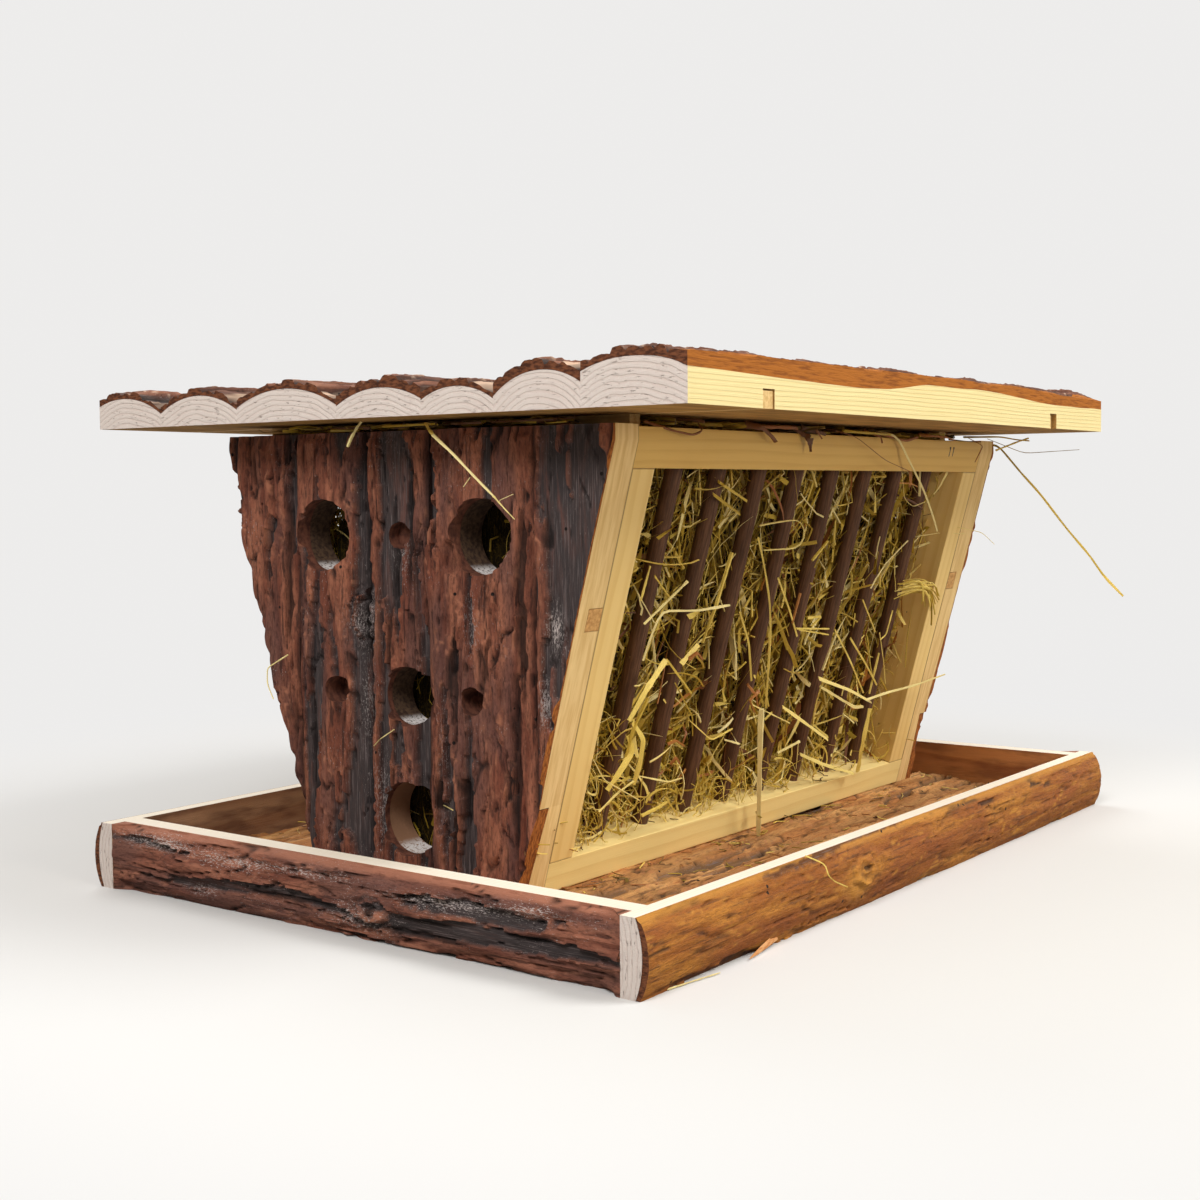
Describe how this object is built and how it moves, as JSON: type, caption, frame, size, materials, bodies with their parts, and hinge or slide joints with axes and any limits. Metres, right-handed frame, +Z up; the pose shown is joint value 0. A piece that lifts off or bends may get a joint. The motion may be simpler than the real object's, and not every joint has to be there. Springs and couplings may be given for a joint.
{
  "type": "pet hay feeder box",
  "caption": "Free-standing hay rack of bark-faced slab wood: leaning barred hopper with drilled gables, lift-off slab roof and a shallow tray around it.",
  "frame": {"origin": "on the ground under the middle of the tray", "axes": "+X along the long side to the right of someone facing the front, +Y from front to back, +Z up"},
  "size_m": [0.6, 0.44, 0.3105],
  "materials": {
    "slab_wood": "rough sawn, unfinished",
    "planed_pine": "planed, unfinished",
    "bark": "rough natural bark",
    "rod_wood": "dark matt stain",
    "hay": "dry grass stems and leaves",
    "steel": "bare wire"
  },
  "bodies": {
    "feeder": {"back_bottom_rail": "planed_pine", "back_left_stile": "planed_pine", "back_right_stile": "planed_pine", "back_rods": "rod_wood", "back_top_rail": "planed_pine", "floor_bark": "bark", "floor_nails": "steel", "floor_slab_1": "slab_wood", "floor_slab_2": "slab_wood", "floor_slab_3": "slab_wood", "floor_slab_4": "slab_wood", "floor_slab_5": "slab_wood", "frame_pins": "steel", "frame_staples": "steel", "front_bottom_rail": "planed_pine", "front_left_stile": "planed_pine", "front_right_stile": "planed_pine", "front_rods": "rod_wood", "front_top_rail": "planed_pine", "gable_screws": "steel", "hay_fill": "hay", "left_gable_bark": "bark", "left_gable_batten": "planed_pine", "left_gable_slab_1": "slab_wood", "left_gable_slab_2": "slab_wood", "left_gable_slab_3": "slab_wood", "left_gable_slab_4": "slab_wood", "left_gable_slab_5": "slab_wood", "right_gable_bark": "bark", "right_gable_batten": "planed_pine", "right_gable_slab_1": "slab_wood", "right_gable_slab_2": "slab_wood", "right_gable_slab_3": "slab_wood", "right_gable_slab_4": "slab_wood", "right_gable_slab_5": "slab_wood", "tray_back_bark": "bark", "tray_back_board": "slab_wood", "tray_front_bark": "bark", "tray_front_board": "slab_wood", "tray_left_bark": "bark", "tray_left_board": "slab_wood", "tray_nails": "steel", "tray_right_bark": "bark", "tray_right_board": "slab_wood"},
    "roof": {"roof_bark": "bark", "roof_batten_left": "planed_pine", "roof_batten_right": "planed_pine", "roof_slab_1": "slab_wood", "roof_slab_2": "slab_wood", "roof_slab_3": "slab_wood", "roof_slab_4": "slab_wood", "roof_slab_5": "slab_wood", "roof_slab_6": "slab_wood", "roof_slab_7": "slab_wood"}
  },
  "joints": [
    {"name": "roof_lift", "type": "slide", "parent": "feeder", "child": "roof", "axis": [0, 0, 1], "range_m": [0, 0.12]}
  ]
}
